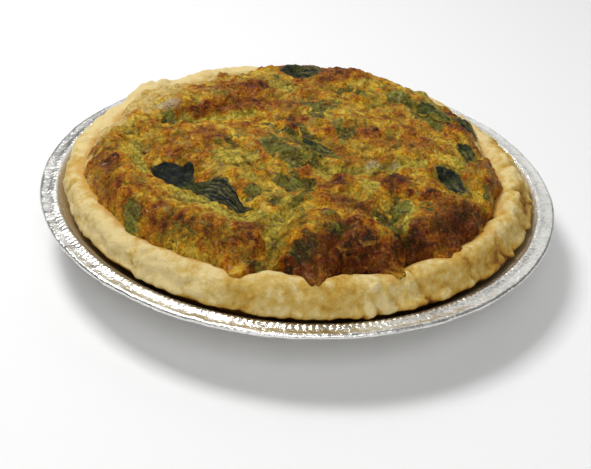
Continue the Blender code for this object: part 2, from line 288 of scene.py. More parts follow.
def bump(nodes, links, shader, height, distance, strength):
    """Fine relief that is too small for the mesh."""
    made = nodes.new("ShaderNodeBump")
    made.inputs["Distance"].default_value = distance
    made.inputs["Strength"].default_value = strength
    links.new(height, made.inputs["Height"])
    links.new(made.outputs["Normal"], shader.inputs["Normal"])


foil_finish, nodes, links, shader = new_material("pressed_foil")
smudges = noise_texture(nodes, links, 90)
bright = ramp(nodes, links, smudges, FOIL_SHADES)
# The inside of the wall is painted brown and less metallic: a painted reflection of the crust, together
# with baked-on fat.
fat_and_reflection = spread(nodes, links, attribute(nodes, "dulled"), 0.0, 1.0, 0.0, 0.9)
colour = blend_colours(nodes, links, fat_and_reflection, bright, FAT_AND_REFLECTED_CRUST)
links.new(colour, shader.inputs["Base Color"])
links.new(spread(nodes, links, fat_and_reflection, 0.0, 0.9, 1.0, 0.1), shader.inputs["Metallic"])
links.new(spread(nodes, links, smudges, 0.3, 0.7, 0.16, 0.32), shader.inputs["Roughness"])
bump(nodes, links, shader, noise_texture(nodes, links, 620, 3.0, 0.6, 0.8), 0.0005, 0.7)
foil_pan.data.materials.append(foil_finish)
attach(foil_pan, "root")
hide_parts("foil_tin")


# The crust is short pastry, rolled out, pressed into the tin and pinched along its edge by hand, and
# baked until it is cream on top and golden where it is thin. Folds, cracks and scallops from the
# fingers run across its rim, small flakes stand up from it, and fat soaked it beside the filling.
RIM_FOLDS = (  # azimuth in degrees, depth and width in mm, and how the fold slants
    (152, 1.3, 2.0, 0.5), (178, 0.9, 1.6, -0.6), (207, 1.5, 1.5, 0.5), (216, 0.7, 1.3, -0.3),
    (232, 0.9, 1.8, 0.4), (290, 0.6, 1.6, -0.4), (299, 0.9, 1.6, 0.4), (312, 1.0, 1.8, 0.5),
    (325, 1.2, 1.6, 0.5), (338, 1.2, 1.8, 0.6), (351, 1.1, 1.6, 0.5), (5, 1.0, 1.7, 0.5),
    (18, 1.0, 1.8, 0.4), (34, 0.9, 1.8, -0.3), (60, 0.8, 2.2, 0.3), (95, 0.8, 2.2, -0.4))
RIM_SCALLOPS = (  # x, y, half length, half width in mm, turn in degrees, height in mm
    (-9, -101, 9, 5, -5, 1.5), (27, -98, 13, 6, 10, 1.6), (57, -83, 9, 6, 35, 1.7),
    (75, -67, 9, 6, 48, 1.5), (88, -48, 9, 6, 62, 1.4), (95, -30, 9, 6, 74, 1.3),
    (98, -10, 8, 5, 85, 1.0), (-78, -66, 9, 6, -48, 1.2), (-92, -50, 9, 6, -60, 1.0),
    (-101, -22, 9, 6, -78, 0.9))
CRACKS = (  # width and depth in mm, then the line that the crack follows, as x and y in mm
    (0.8, 1.4, ((-95, -34), (-99, -37), (-108, -38))), (0.7, 0.9, ((-84, 63), (-90, 58), (-95, 60))),
    (0.7, 0.8, ((-56, -88), (-62, -90), (-66, -94))), (0.8, 1.1, ((88, -46), (93, -52), (98, -54))),
    (0.7, 1.0, ((70, -70), (76, -74), (80, -80))), (0.7, 0.9, ((46, -86), (50, -92), (58, -96))),
    (0.6, 0.7, ((20, -100), (30, -104), (42, -101))), (0.7, 0.9, ((96, -22), (101, -26), (107, -25))))
FOOT_IN_FRONT = (  # azimuth and spread in degrees, height, spread and reach in mm: it meets the flange
    -95, 48, 28.0, 2.2, 1.5)
FLAKES = (  # as the scallops: small chips of pastry that lift off the rim
    (38, -103, 4.2, 1.6, 12, 1.3), (31, -106, 2.5, 1.3, 5, 1.1), (33, -101, 2.5, 1.2, 30, 0.9),
    (14, -105, 2.4, 1.2, -10, 0.5), (62, -91, 3.0, 1.4, 40, 0.6), (96, -38, 3.4, 1.3, 70, 0.7),
    (100, -24, 3.6, 1.4, 78, 0.8), (102, 2, 3.2, 1.3, 92, 0.8), (99, 14, 3.0, 1.2, 98, 0.7),
    (-86, -62, 3.0, 1.3, -50, 0.5), (-84, 62, 5.0, 2.0, 40, 1.3), (-76, 70, 4.0, 1.8, 38, 1.0))
GOLDEN_PATCHES = (  # x, y, half length, half width in mm, turn in degrees, how much more it is baked
    (20, -104, 9, 4, 5, 0.28), (60, -93, 9, 4, 40, 0.30), (88, -66, 12, 5, 55, 0.50),
    (104, -20, 12, 4, 80, 0.50), (100, 25, 14, 5, 100, 0.45), (-90, 48, 40, 14, 60, -0.30),
    (-30, 100, 30, 10, 15, -0.15), (-20, -108, 10, 3, -8, 0.24), (5, -108, 12, 3, -2, 0.20),
    (70, -82, 9, 4, 45, 0.12), (-104, -20, 10, 4, 85, 0.25))
AZIMUTHS = 145
OUT_OF_TIN = (25.0, 29.0)  # heights in mm between which the crust comes into view
LOW_EDGE = (26.8, 29.6)
RIM_RADIUS = 104
OUTER_SIDE = 100
CRUST_REACH = 113.2
# The crust's colour follows how far it is baked, and also darkens for the painted shade at its foot, in
# folds and in cracks.
CRUST_SHADES = (  # how far it is baked, and its colour there
    (0.0, (0.77, 0.61, 0.28)), (0.24, (0.66, 0.46, 0.130)), (0.50, (0.56, 0.33, 0.050)),
    (0.78, (0.36, 0.160, 0.018)), (1.0, (0.14, 0.055, 0.006)))
OILY_CRUST = (0.60, 0.31, 0.045)


def copy_of_node(node, name):
    """A closed copy of a CAD node's mesh, to be made finer."""
    piece = bpy.data.objects.new(name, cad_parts[node].data.copy())
    bpy.context.scene.collection.objects.link(piece)
    piece.data.materials.clear()
    select_only(piece)
    bpy.ops.mesh.customdata_custom_splitnormals_clear()
    bpy.ops.object.mode_set(mode="EDIT")
    bpy.ops.mesh.select_all(action="SELECT")
    bpy.ops.mesh.remove_doubles(threshold=0.00001)
    bpy.ops.mesh.mark_sharp(clear=True)
    bpy.ops.object.mode_set(mode="OBJECT")
    return piece


def refine(piece, levels):
    """Splits every face and rounds the shape off."""
    select_only(piece)
    finer = piece.modifiers.new("finer", "SUBSURF")
    finer.levels = levels
    finer.render_levels = levels
    bpy.ops.object.modifier_apply(modifier="finer")
    bpy.ops.object.shade_smooth()


def turned_from(azimuths, centre, full_turn=360.0):
    """How far azimuths lie to either side of a centre, by the shorter way round."""
    return (azimuths - centre + full_turn / 2) % full_turn - full_turn / 2


def patch_sum(x, y, patches, steepness=1.5):
    """The sum of soft-edged ellipses, each with its own height or strength."""
    total = np.zeros(len(x))
    for centre_x, centre_y, half_length, half_width, turn, strength in patches:
        turned = math.radians(turn)
        dx, dy = x - centre_x, y - centre_y
        along = (dx * math.cos(turned) + dy * math.sin(turned)) / half_length
        across = (dy * math.cos(turned) - dx * math.sin(turned)) / half_width
        total += strength * np.exp(-((along**2 + across**2) ** steepness))
    return total


def line_sum(x, y, lines):
    """The sum of soft grooves or ridges that follow lines."""
    total = np.zeros(len(x))
    for width, height, corners in lines:
        nearest = np.full(len(x), 1e9)
        for (ax, ay), (bx, by) in zip(corners, corners[1:]):
            length = (bx - ax) ** 2 + (by - ay) ** 2
            share = np.clip(((x - ax) * (bx - ax) + (y - ay) * (by - ay)) / length, 0.0, 1.0)
            off_x, off_y = x - ax - share * (bx - ax), y - ay - share * (by - ay)
            nearest = np.minimum(nearest, off_x**2 + off_y**2)
        total += height * np.exp(-nearest / width**2)
    return total


def edge_by_azimuth(node, low, high):
    """How far out a CAD node reaches at each azimuth, between two heights in mm."""
    place = np.array([v.co[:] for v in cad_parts[node].data.vertices]) / MM
    place = place[(place[:, 2] > low) & (place[:, 2] < high)]
    out, turn = np.hypot(place[:, 0], place[:, 1]), np.arctan2(place[:, 1], place[:, 0])
    turns = np.linspace(-math.pi, math.pi, AZIMUTHS)
    reach = np.zeros(AZIMUTHS)
    for i, centre in enumerate(turns):
        near = np.abs(turned_from(turn, centre, 2 * math.pi)) < math.radians(1.6)
        reach[i] = out[near].max()
    return lambda azimuths: np.interp(azimuths, turns, reach)


def combine(nodes, links, operation, first, second):
    """One sum of two values."""
    made = nodes.new("ShaderNodeMath")
    made.operation = operation
    links.new(first, made.inputs[0])
    links.new(second, made.inputs[1])
    return made.outputs["Value"]


def broken_up(nodes, links, value, pattern, down, up):
    """Adds a pattern of noise to a value, so that its edges break up."""
    return combine(nodes, links, "ADD", value, spread(nodes, links, pattern, 0.3, 0.7, down, up))


def paint_over(nodes, links, colour, where, low, high, most, paint):
    """Lays paint on a colour, from none of it where a value is low to most where it is high."""
    return blend_colours(nodes, links, spread(nodes, links, where, low, high, 0.0, most), colour, paint)


filling_edge = edge_by_azimuth("filling", 30.0, 50.0)

pastry = copy_of_node("crust", "pastry")
refine(pastry, 2)
place = points_of(pastry)
facing = normals_of(pastry)
radius = np.hypot(place[:, 0], place[:, 1])
azimuth = np.arctan2(place[:, 1], place[:, 0])
off_filling = radius - filling_edge(azimuth)
seen = smoothstep(*OUT_OF_TIN, place[:, 2]) * smoothstep(0.0, 5.0, off_filling)
lift = unevenness(place, 16, 2, 1.0) * 1.3 + unevenness(place, 4.2, 3, 2.0) * 0.45
lift += (np.abs(unevenness(place, 9, 2, 9.0)) - 0.3) * 1.1
lift += patch_sum(place[:, 0], place[:, 1], RIM_SCALLOPS) * 0.8 - 0.2
flakes = patch_sum(place[:, 0], place[:, 1], FLAKES, 3.0)
cracks = line_sum(place[:, 0], place[:, 1], CRACKS)
lift += flakes - cracks
fold_shade = np.zeros(len(place))
for centre, depth, width, slant in RIM_FOLDS:
    middle = math.radians(centre) + slant * (radius - RIM_RADIUS) / RIM_RADIUS
    away = turned_from(azimuth, middle, 2 * math.pi) * radius / width
    fold = depth * np.exp(-(away**2))
    lift -= fold - 0.5 * depth * np.exp(-((away - 2.0) ** 2))
    fold_shade += fold
crumbly = np.maximum(unevenness(place, 1.6, 2, 4.0), 0.0) * 0.22
front, front_spread, foot_height, foot_spread, foot_reach = FOOT_IN_FRONT
from_front = turned_from(np.degrees(azimuth), front)
foot = foot_reach * np.exp(
    -((from_front / front_spread) ** 2) - ((place[:, 2] - foot_height) / foot_spread) ** 2)
place = place + facing * ((lift + crumbly) * seen)[:, None]
reach = np.hypot(place[:, 0], place[:, 1])
grow = np.where(radius > OUTER_SIDE, np.minimum(reach + foot, CRUST_REACH) / reach, 1.0)
place[:, 0] *= grow
place[:, 1] *= grow
move_points(pastry, place)
# Darker towards the foot of the crust: browned where it lay against the tin, and painted shade in the gap
# to the flange.
low_edge_brown_and_shade = 1 - smoothstep(*LOW_EDGE, place[:, 2] + unevenness(place, 9, 2, 6.0) * 0.8)
baked_and_shaded = patch_sum(place[:, 0], place[:, 1], GOLDEN_PATCHES) + low_edge_brown_and_shade * 0.8
# Folds and cracks are darker as well: painted shade in these hollows.
baked_and_shaded += (unevenness(place, 11, 3, 7.0) * 0.20 + unevenness(place, 2.4, 2, 17.0) * 0.16
          + fold_shade * 0.22 + cracks * 0.16 - flakes * 0.6)
baked_and_shaded += 0.20 * smoothstep(0, 60, place[:, 0] - place[:, 1] - 60)
soaked_width = 4.0 + 5.0 * unevenness(place, 6, 3, 10.0)
near_filling = 1 - smoothstep(0.0, 1.0, off_filling / np.maximum(soaked_width, 1.2))
give_values(pastry, "baked_and_shaded", baked_and_shaded)
give_values(pastry, "oily", near_filling)

pastry_finish, nodes, links, shader = new_material("baked_pastry")
flour = noise_texture(nodes, links, 260, 5.0, 0.65)
toast_and_shade = broken_up(nodes, links, attribute(nodes, "baked_and_shaded"), flour, -0.27, 0.25)
crust_colour = ramp(nodes, links, toast_and_shade, CRUST_SHADES)
crust_colour = paint_over(
    nodes, links, crust_colour, attribute(nodes, "oily"), 0.0, 1.0, 0.75, OILY_CRUST)
links.new(crust_colour, shader.inputs["Base Color"])
shader.inputs["Roughness"].default_value = 0.62
shader.inputs["Specular IOR Level"].default_value = 0.2
bump(nodes, links, shader, noise_texture(nodes, links, 900, 4.0, 0.7), 0.0008, 0.8)
pastry.data.materials.append(pastry_finish)
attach(pastry, "root")
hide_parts("crust")


# The filling is set egg and cheese full of spinach. It rose in the oven, then sank into lumps and
# creases: its high places browned to dark red-brown, the creases stayed yellow-green, and its edge ran
# over the rim in tongues. Fat has made it slightly glossy.
CREASES = (  # width and depth in mm, then the line that the crease follows, as x and y in mm
    (2.6, 2.6, ((-68, 8), (-60, 13), (-50, 16), (-38, 18), (-26, 20))),
    (3.4, 1.6, ((-82, 2), (-77, -14), (-71, -28))),
    (2.0, 1.5, ((-12, 3), (-2, 0), (6, -8), (13, -17))),
    (1.8, 1.8, ((-4, -33), (12, -29), (30, -27), (45, -24), (57, -21))),
    (1.8, 1.5, ((26, -56), (40, -52), (50, -57))),
    (3.6, 2.4, ((-9, -93), (-8, -78), (-2, -64))),
    (3.0, 1.8, ((44, -84), (44, -72), (38, -60))),
    (2.4, 1.6, ((48, 80), (56, 68), (68, 60), (73, 48))),
    (2.2, 1.5, ((44, 53), (55, 42), (62, 30), (66, 18))),
    (2.2, 1.4, ((-82, 32), (-74, 22), (-67, 8))),
    (2.4, 1.4, ((-10, 62), (-17, 52), (-14, 44))),
    (1.6, 1.1, ((-30, -20), (-20, -28), (-16, -42), (-12, -60))),
    (2.0, 1.3, ((8, 54), (20, 50), (34, 52))),
    (1.8, 1.1, ((2, -40), (8, -56), (4, -66))),
    (2.2, 1.4, ((58, -8), (74, -12), (84, -26))))
RIDGES = (  # the same, with heights; one below 0 is a dip
    (6.0, 1.6, ((-92, -30), (-86, -45), (-72, -64), (-52, -79), (-37, -86), (-22, -92))),
    (3.0, 1.2, ((-70, -30), (-64, -46), (-56, -54), (-41, -59), (-30, -68))),
    (2.6, 1.0, ((-36, -30), (-26, -42), (-20, -56), (-15, -68))),
    (3.0, 1.2, ((10, -62), (24, -66), (36, -62))),
    (9.0, 2.4, ((4, 89), (20, 88), (36, 83), (56, 74), (74, 57), (84, 38))),
    (5.0, 1.8, ((-9, 87), (1, 88))), (6.0, -1.5, ((-32, 81), (-19, 84))))
BROWNED = (  # x, y, half length, half width in mm, turn in degrees, strength; below 0 it stayed paler
    (-80, -46, 17, 7, 123, 0.22), (-86, -34, 8, 5, 118, 0.40), (-66, -63, 16, 7, 138, 0.20),
    (-58, -78, 8, 5, 148, 0.24), (-45, -83, 12, 6, 157, 0.20), (-30, -88, 12, 5, 165, 0.14),
    (-15, -95, 9, 6, 170, 0.46), (-17, -84, 9, 6, 0, 0.20), (-78, -14, 11, 6, 100, 0.20),
    (-52, -18, 14, 6, -10, 0.22), (-44, -11, 8, 5, -20, 0.34), (-55, -25, 9, 4, -10, 0.16),
    (-55, 9, 9, 4, 0, 0.36), (-32, 6, 8, 7, 0, 0.16), (-48, 20, 15, 3, 12, 0.50),
    (-25, 42, 8, 9, 0, 0.48), (-27, 30, 6, 7, 0, 0.38), (-46, 44, 12, 10, 0, 0.18),
    (8, 58, 10, 8, 0, 0.36), (12, 80, 12, 14, 0, 0.40), (22, 68, 9, 9, 0, 0.34),
    (46, 18, 7, 11, 0, 0.32), (75, 38, 13, 6, 105, 0.50), (80, 52, 7, 6, 90, 0.55),
    (76, 22, 7, 6, 0, 0.55), (83, 10, 6, 4, 90, 0.30), (92, -8, 13, 6, 88, 0.42),
    (88, -30, 8, 7, 70, 0.48), (80, -48, 11, 6, 48, 0.44), (70, -62, 12, 7, 38, 0.50),
    (58, -74, 12, 9, 28, 0.50), (47, -81, 9, 8, 18, 0.50), (32, -88, 12, 9, 12, 0.58),
    (15, -92, 13, 9, 4, 0.68), (1, -99, 11, 8, -8, 0.66), (22, -78, 9, 5, 0, 0.46),
    (8, -74, 8, 6, 0, 0.22), (15, -47, 8, 5, 0, 0.38), (20, -61, 12, 6, 0, 0.46),
    (42, -42, 6, 6, 0, 0.60), (40, -33, 8, 4, 0, 0.26), (58, -48, 6, 6, 0, 0.32),
    (62, -60, 8, 6, 30, 0.34), (20, -15, 6, 7, 0, 0.28), (26, -22, 5, 4, 0, 0.32),
    (30, 5, 6, 6, 0, 0.26), (56, 0, 9, 11, 0, 0.18), (-20, 5, 8, 6, 0, 0.16),
    (2, 44, 6, 5, 0, 0.26), (-4, 10, 8, 5, 0, 0.18), (36, 20, 5, 6, 0, 0.20),
    (41, -93, 4, 6, 0, -0.60),
    (-9, -97, 4, 5, 0, -0.35), (80, -36, 3, 8, 0, -0.30), (-18, 27, 14, 7, 0, 0.30),
    (46, -46, 7, 11, 0, 0.26), (44, -68, 7, 7, 0, 0.36), (58, -30, 6, 7, 0, 0.18),
    (58, -50, 8, 7, 0, 0.20), (-12, -77, 11, 6, 0, 0.16), (-8, -62, 7, 5, 0, 0.14),
    (-62, -38, 6, 5, 0, 0.28), (4, 5, 8, 6, 0, 0.14))
EGG = (  # the same: where yellow-green egg shows
    (-75, -22, 10, 4, 90, 0.7), (-70, -38, 10, 4, 112, 0.7), (-31, -70, 14, 7, -35, 1.0),
    (-22, -78, 8, 5, 0, 0.4), (-40, -53, 9, 3, -35, 0.6), (-28, -30, 10, 9, 0, 0.6),
    (-22, -43, 4, 3, 0, 0.9), (-12, -70, 9, 4, 0, 0.4), (10, -36, 4, 7, 0, 0.8),
    (28, -27, 18, 2, 5, 0.8), (33, -46, 5, 7, 0, 0.6), (-9, 48, 5, 14, 0, 0.6),
    (30, 60, 11, 6, 0, 0.5), (60, 58, 7, 11, 30, 0.6), (15, 38, 6, 9, 0, 0.45),
    (36, 38, 9, 10, 0, 0.6), (-90, 32, 8, 12, 0, 0.5), (47, -60, 3, 7, 0, 0.6),
    (72, -16, 5, 5, 0, 0.7), (-52, 2, 12, 3, 0, 0.4), (-14, -14, 10, 8, 0, 0.5),
    (-66, 30, 12, 8, 0, 0.4), (-30, 62, 6, 8, 0, 0.4), (62, 5, 6, 9, 0, 0.4),
    (-3, -60, 6, 4, 0, 0.5), (-50, 34, 10, 5, 10, 0.35), (40, 76, 9, 6, -20, 0.5),
    (-36, -27, 8, 6, 0, 0.3))
SPINACH = (  # the same: where spinach lies just under the surface
    (-2, -16, 20, 13, -30, 0.40), (60, 40, 16, 8, -40, 0.40), (-15, -52, 14, 10, 0, 0.22),
    (12, 28, 14, 18, 0, 0.16), (-45, -82, 24, 7, 155, 0.22), (36, -58, 14, 6, 0, 0.20),
    (-66, 13, 4, 4, 0, 0.9), (78, 52, 16, 6, 130, 0.30), (-75, -30, 12, 8, 110, 0.15),
    (-82, -8, 3, 8, 0, 0.5), (-68, -68, 7, 4, 140, 0.7), (-46, -86, 7, 3, 155, 0.5),
    (-12, -22, 9, 5, -40, 0.7), (5, -15, 6, 13, 10, 0.9), (-5, -28, 9, 5, -10, 0.5),
    (2, -43, 5, 3, 0, 0.9), (2, -55, 4, 9, 0, 0.8), (3, -72, 4, 8, 0, 0.6),
    (13, -73, 4, 5, 0, 0.5), (38, -68, 5, 10, 0, 0.9), (55, -58, 4, 5, 0, 0.8),
    (-36, -62, 8, 4, -40, 0.5), (-19, -55, 4, 5, 0, 0.6), (-11, -62, 5, 2, 20, 0.8),
    (20, 50, 10, 4, 8, 0.9), (14, 34, 5, 8, 0, 0.4), (36, 34, 7, 13, 0, 0.35),
    (7, 18, 5, 8, 0, 0.7), (20, 5, 5, 7, 0, 0.8), (18, -5, 4, 7, 0, 0.5),
    (60, 34, 7, 8, 0, 0.6), (65, 26, 5, 7, 0, 0.8), (48, 51, 6, 4, -20, 0.8),
    (56, 42, 7, 4, -40, 0.8), (70, 62, 7, 4, -40, 0.8), (53, 78, 5, 7, -40, 0.6),
    (83, -36, 4, 6, 0, 0.7), (-16, 62, 3, 8, 0, 0.5), (-78, 26, 3, 4, 0, 0.6),
    (-40, 30, 6, 3, 0, 0.5), (-5, 2, 10, 2, -30, 0.6), (3, -92, 6, 5, 0, 0.8),
    (16, -83, 7, 4, 10, 0.8), (46, -79, 4, 4, 0, 0.6), (-15, -97, 5, 3, 0, 0.6),
    (30, 12, 4, 4, 0, 0.4), (84, 30, 4, 6, 0, 0.5), (-33, -18, 7, 2, 30, 0.5),
    (44, -10, 4, 3, 0, 0.4), (2, 28, 12, 7, 0, 0.50), (44, -55, 6, 10, 0, 0.70),
    (-68, -73, 6, 5, 0, 0.60), (-5, -41, 10, 7, 0, 0.60))
SPINACH_STREAKS = (  # width in mm and strength, then the line that a shred follows, as x and y in mm
    (1.3, 0.9, ((-14, 13), (-2, 8), (10, -7), (15, -20))),
    (1.0, 0.6, ((-18, 8), (-8, 0), (0, -11), (4, -23))),
    (1.0, 0.6, ((-22, 1), (-14, -9), (-8, -20), (-5, -31))), (0.9, 0.5, ((-9, 5), (-2, -4), (4, -12))),
    (0.9, 0.6, ((-46, -64), (-36, -70), (-22, -74))), (0.8, 0.6, ((-38, -56), (-30, -64), (-20, -70))),
    (0.9, 0.5, ((-12, -48), (-4, -44), (6, -43))), (0.8, 0.5, ((-30, 18), (-18, 16), (-6, 20))),
    (1.0, 0.5, ((34, -62), (40, -70), (42, -80))), (0.9, 0.5, ((20, 44), (30, 40), (38, 44))))
EGG_STREAKS = (  # the same, of bare egg
    (1.4, 1.0, ((6, -32), (18, -31), (34, -29), (46, -27), (56, -20))),
    (1.6, 0.9, ((-52, -56), (-42, -66), (-30, -71), (-14, -72))),
    (1.2, 0.7, ((-50, -50), (-38, -61), (-26, -68))), (1.2, 0.35, ((-6, -90), (-8, -80), (-4, -70))),
    (1.3, 0.7, ((-64, 10), (-52, 14), (-38, 17), (-24, 18))), (1.2, 0.7, ((48, -58), (46, -66), (46, -74))),
    (1.4, 0.6, ((-78, -14), (-73, -28), (-66, -38))), (1.1, 0.6, ((2, 30), (10, 24), (14, 14))))
# Pale spots of cheese and fat, with painted highlights where they caught the light.
PALE_FAT_AND_GLINTS = (  # as the egg: cheese and fat that caught the light
    (33, -25, 4, 2, 0, 1.0), (43, -24, 4, 2, 0, 0.8), (54, 62, 4, 6, 0, 0.5),
    (22, 75, 5, 8, 0, 0.4), (-85, -39, 2, 2, 0, 0.7), (-66, 21, 8, 5, 0, 1.0))
RUNS = (  # azimuth, reach in mm, spread in degrees: where the edge ran down the rim or stopped short
    (214, 1.5, 2.5), (228, 2.0, 3.0), (236, 2.0, 1.5), (244, 2.0, 2.0), (253, 2.0, 1.6),
    (258, 4.0, 2.6), (264, 2.0, 1.4), (268, -2.2, 2.0), (275, 5.0, 2.6), (279, 1.0, 1.2),
    (286, -2.0, 4.0), (290, 0.5, 1.2), (295, 4.5, 1.7), (302, -2.2, 2.4), (308, 2.0, 1.8),
    (313, 3.5, 1.5), (320, 1.5, 1.5), (327, -1.0, 2.0), (334, 2.0, 1.8), (343, -1.5, 3.0),
    (350, 1.5, 2.5), (24, 2.5, 6.0), (37, 7.5, 7.0), (51, 9.0, 7.5), (65, 8.0, 7.5),
    (79, 5.0, 7.0), (92, 2.5, 6.0))
PALE_EDGES = (  # azimuth, width in mm, spread in degrees: where the edge stayed as pale as the crust
    (169, 15.0, 15), (145, 24.0, 19), (117, 10.0, 14), (200, 3.0, 14), (15, 4.0, 14), (338, 3.0, 8))
SHOWS_ABOVE = 34.0
UPPER_SIDE = 0.05
EDGE_FADE = 4.0
WARP = 2.6
LUMP_HEIGHT = 3.2
KNOB_HEIGHT = 1.7
CRUMB_HEIGHT = 0.50
SWELLING = 3.0
TOP_GAP = 0.15
WOBBLE_WITHIN = 2.8
RUNS_WITHIN = 7.0
FILM_WITHIN = 6.0
FILM_AT_EDGE = 0.15
FILM_GAIN = 0.9
FILM_GROWS_OVER = 3.0
FLOW_UNDER = 0.55
PATCH_EDGE = 1.2
DROP_HEIGHT = 0.2
FILLING_SHADES = (  # how far it is browned, and its colour there
    (0.0, (0.90, 0.63, 0.075)), (0.15, (0.76, 0.43, 0.022)), (0.32, (0.57, 0.225, 0.008)),
    (0.50, (0.37, 0.090, 0.007)), (0.68, (0.23, 0.042, 0.007)), (0.85, (0.14, 0.023, 0.006)),
    (1.0, (0.07, 0.016, 0.003)))
BURNT_SHADES = (
    (0.41, (0.008, 0.009, 0.009)), (0.47, (0.075, 0.011, 0.006)), (0.55, (0.145, 0.023, 0.007)),
    (0.64, (0.20, 0.062, 0.007)))
TAN_FLECKS = (0.38, 0.145, 0.016)
OLIVE = (0.27, 0.205, 0.020)
ORANGE = (0.78, 0.255, 0.011)
EGG_SHADES = ((0.36, (0.30, 0.25, 0.020)), (0.62, (0.84, 0.68, 0.090)))
SPINACH_SHADES = ((0.38, (0.014, 0.026, 0.006)), (0.60, (0.180, 0.215, 0.036)))
BURNT_SPINACH = (0.014, 0.015, 0.008)
DARK_GRIT = (0.030, 0.014, 0.003)
LIGHT_GRIT = ((0.50, (0.70, 0.38, 0.038)), (0.85, (0.32, 0.105, 0.012)))
EDGE_SHADES = (
    (0.02, (0.84, 0.66, 0.28)), (0.30, (0.76, 0.54, 0.160)), (0.55, (0.60, 0.33, 0.045)))
PALE_FAT_AND_GLINT_COLOUR = (0.72, 0.64, 0.44)
# The last two colours are painted shade, for the crevices and for the gaps between crumbs.
CREVICE_SHADE_COLOUR = (0.045, 0.022, 0.003)
SHADE_BETWEEN_CRUMBS = (0.12, 0.050, 0.005)


def by_azimuth(azimuths, places):
    """The sum of soft features round the quiche, each at its own azimuth."""
    total = np.zeros(len(azimuths))
    for centre, size, spread_degrees in places:
        away = turned_from(np.degrees(azimuths), centre)
        total += size * np.exp(-((away / spread_degrees) ** 4))
    return total


def surface_of(piece):
    """What a ray dropped on a piece meets."""
    return BVHTree.FromObject(piece, bpy.context.evaluated_depsgraph_get())


def drop_on(surfaces, x, y):
    """The height in mm at which a point that is let fall comes to rest."""
    hits = [s.ray_cast(Vector((x * MM, y * MM, DROP_HEIGHT)), Vector((0, 0, -1)))[0] for s in surfaces]
    return max(hit.z for hit in hits if hit is not None) / MM


def crumb_texture(nodes, links, scale):
    """How far a point is from the middle of the nearest crumb: scale is in crumbs a metre."""
    place = nodes.new("ShaderNodeTexCoord")
    made = nodes.new("ShaderNodeTexVoronoi")
    made.inputs["Scale"].default_value = scale
    links.new(place.outputs["Object"], made.inputs["Vector"])
    return made.outputs["Distance"]


egg_filling = copy_of_node("filling", "egg_filling")
refine(egg_filling, 2)
place = points_of(egg_filling)
facing = normals_of(egg_filling)
flat = np.column_stack([place[:, 0], place[:, 1], np.zeros(len(place))])
radius = np.hypot(place[:, 0], place[:, 1])
azimuth = np.arctan2(place[:, 1], place[:, 0])
from_edge = filling_edge(azimuth) - radius
on_top = (place[:, 2] > SHOWS_ABOVE) & (facing[:, 2] > UPPER_SIDE)
inland = np.where(on_top, smoothstep(0.2, EDGE_FADE, from_edge), 0.0)
steep = 1 - smoothstep(0.60, 0.95, facing[:, 2])
warp_x = place[:, 0] + unevenness(flat, 9, 2, 11.0) * WARP
warp_y = place[:, 1] + unevenness(flat, 9, 2, 12.0) * WARP
lumps = np.abs(unevenness(flat, 13, 2, 13.0))
knobs = np.abs(unevenness(flat, 4.6, 2, 14.0))
crumbs = unevenness(flat, 1.9, 2, 15.0)
creases = line_sum(warp_x, warp_y, CREASES)
ridges = line_sum(warp_x, warp_y, RIDGES)
# Lumps and knobs are about 0.3 on average, so what is left when 0.3 is taken off rises and dips.
relief = (lumps - 0.3) * LUMP_HEIGHT + (knobs - 0.3) * KNOB_HEIGHT
relief += crumbs * CRUMB_HEIGHT
relief = relief + ridges - creases
place[:, 2] += relief * inland
swelling = (np.abs(unevenness(place, 10, 2, 30.0)) - 0.28) * SWELLING
swelling += unevenness(place, 3.0, 2, 31.0) * 0.35
place += facing * (swelling * inland * steep)[:, None]
top_room = packed_high.z / MM - TOP_GAP
place[:, 2] = np.where(place[:, 2] > top_room - 1.0,
                       top_room - 1.0 * np.exp(-(place[:, 2] - top_room + 1.0)), place[:, 2])

# The edge wobbles, runs out or stops short, and then comes to rest on the rim as a thinning film.
shown = place[:, 2] > SHOWS_ABOVE
at_edge = np.where(shown, 1 - smoothstep(0.0, WOBBLE_WITHIN, from_edge), 0.0)
near_edge = np.where(shown, 1 - smoothstep(0.0, RUNS_WITHIN, from_edge), 0.0)
wobble = unevenness(flat, 3.2, 3, 16.0) * 1.2 * at_edge + by_azimuth(azimuth, RUNS) * near_edge
place[:, 0] += np.cos(azimuth) * wobble
place[:, 1] += np.sin(azimuth) * wobble
film = FILM_AT_EDGE + FILM_GAIN * np.clip(from_edge / FILM_GROWS_OVER, 0.0, 1.0)
film = np.where(facing[:, 2] > UPPER_SIDE, film, -FLOW_UNDER)
pastry_surface = surface_of(pastry)
for i in np.flatnonzero((from_edge < FILM_WITHIN) & shown):
    resting = drop_on((pastry_surface,), *place[i, :2]) + film[i]
    place[i, 2] = resting if from_edge[i] < 1.0 else max(place[i, 2], resting)
move_points(egg_filling, place)

# What each point carries for the colours: how browned, eggy, green or pale it is, and its painted crevice
# shade.
high_places = (lumps - 0.3) * 0.35 + (knobs - 0.3) * 0.30 + ridges * 0.04 - creases * 0.12
browning = 0.25 + patch_sum(warp_x, warp_y, BROWNED, PATCH_EDGE) * 0.92 + high_places
browning += unevenness(flat, 18, 2, 17.0) * 0.14 + unevenness(flat, 3.4, 3, 18.0) * 0.21
egg = patch_sum(warp_x, warp_y, EGG, PATCH_EDGE) + creases * 0.22
egg -= patch_sum(warp_x, warp_y, BROWNED) * 0.4
egg += line_sum(warp_x, warp_y, EGG_STREAKS)
spinach = patch_sum(warp_x, warp_y, SPINACH, PATCH_EDGE) * 1.25
spinach = spinach + unevenness(flat, 6, 3, 19.0) * 0.38 - 0.14
spinach += line_sum(warp_x, warp_y, SPINACH_STREAKS)
pale_width = by_azimuth(azimuth + unevenness(flat, 15, 3, 23.0) * 0.24, PALE_EDGES)
pale_edge = from_edge + unevenness(flat, 8, 4, 22.0) * 4.5
pale_edge = 1 - smoothstep(0.25, 1.25, pale_edge / (pale_width + 0.1))
